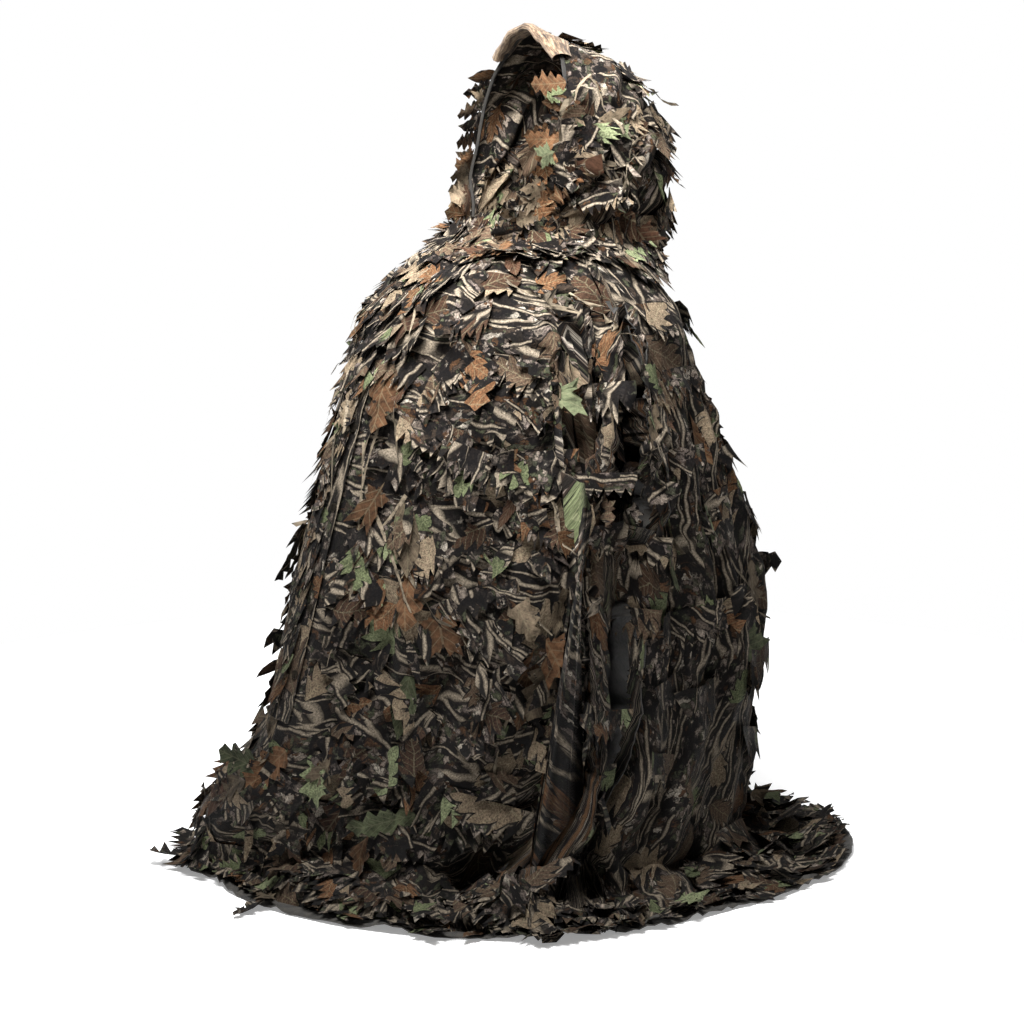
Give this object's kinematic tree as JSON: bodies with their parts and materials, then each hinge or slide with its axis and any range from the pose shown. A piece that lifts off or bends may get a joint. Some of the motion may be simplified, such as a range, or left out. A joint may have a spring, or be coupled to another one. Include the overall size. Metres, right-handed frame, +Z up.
{
  "type": "hooded ghillie cape",
  "caption": "Hooded poncho-style camouflage cape covered in rows of leaf-cut cloth, draped to the floor as over a kneeling wearer.",
  "frame": {"origin": "middle of the hem's box, on the floor", "axes": "+Z up, -Y the way the wearer faces, +X the wearer's left"},
  "size_m": [0.9, 1.14, 1.283],
  "materials": {
    "camo_cloth": "matte printed polyester",
    "leaf_cloth": "matte printed polyester, laser-cut edges",
    "tape": "matte woven tape",
    "stud_metal": "dark satin"
  },
  "bodies": {
    "cape": {"front_panel_left": "camo_cloth", "back_panel_left": "camo_cloth", "back_panel_right": "camo_cloth", "front_panel_right": "camo_cloth", "leaf_row_1": "leaf_cloth", "leaf_row_2": "leaf_cloth", "leaf_row_3": "leaf_cloth", "leaf_row_4": "leaf_cloth", "leaf_row_5": "leaf_cloth", "leaf_row_6": "leaf_cloth", "leaf_row_7": "leaf_cloth", "leaf_row_8": "leaf_cloth", "left_side_seam_tape": "tape", "back_seam_tape": "tape", "right_side_seam_tape": "tape", "placket_left": "tape", "placket_right": "tape", "neck_binding": "tape", "hem_tape": "tape", "snap_stud_1": "stud_metal", "snap_stud_2": "stud_metal", "snap_stud_3": "stud_metal", "snap_stud_4": "stud_metal"},
    "hood": {"hood_panel_left": "camo_cloth", "hood_panel_crown": "camo_cloth", "hood_panel_right": "camo_cloth", "hood_peak": "camo_cloth", "hood_leaf_row_1": "leaf_cloth", "hood_leaf_row_2": "leaf_cloth", "hood_leaf_row_3": "leaf_cloth", "hood_fringe_left": "leaf_cloth", "hood_fringe_right": "leaf_cloth", "hood_opening_binding": "tape"},
    "storm_flap": {"storm_flap": "camo_cloth", "flap_leaf_row_1": "leaf_cloth", "flap_leaf_row_2": "leaf_cloth", "flap_leaf_row_3": "leaf_cloth", "snap_cap_1": "stud_metal", "snap_cap_2": "stud_metal", "snap_cap_3": "stud_metal", "snap_cap_4": "stud_metal"}
  },
  "joints": [
    {"name": "hood_fold", "type": "hinge", "parent": "cape", "child": "hood", "pos_m": [0, 0.2035, 0.991], "axis": [-1, 0, 0], "range_deg": [0, 70]},
    {"name": "storm_flap_turn", "type": "hinge", "parent": "cape", "child": "storm_flap", "pos_m": [-0.0352, -0.2763, 0.7825], "axis": [0, -0.2716, -0.9624], "range_deg": [0, 110]}
  ]
}
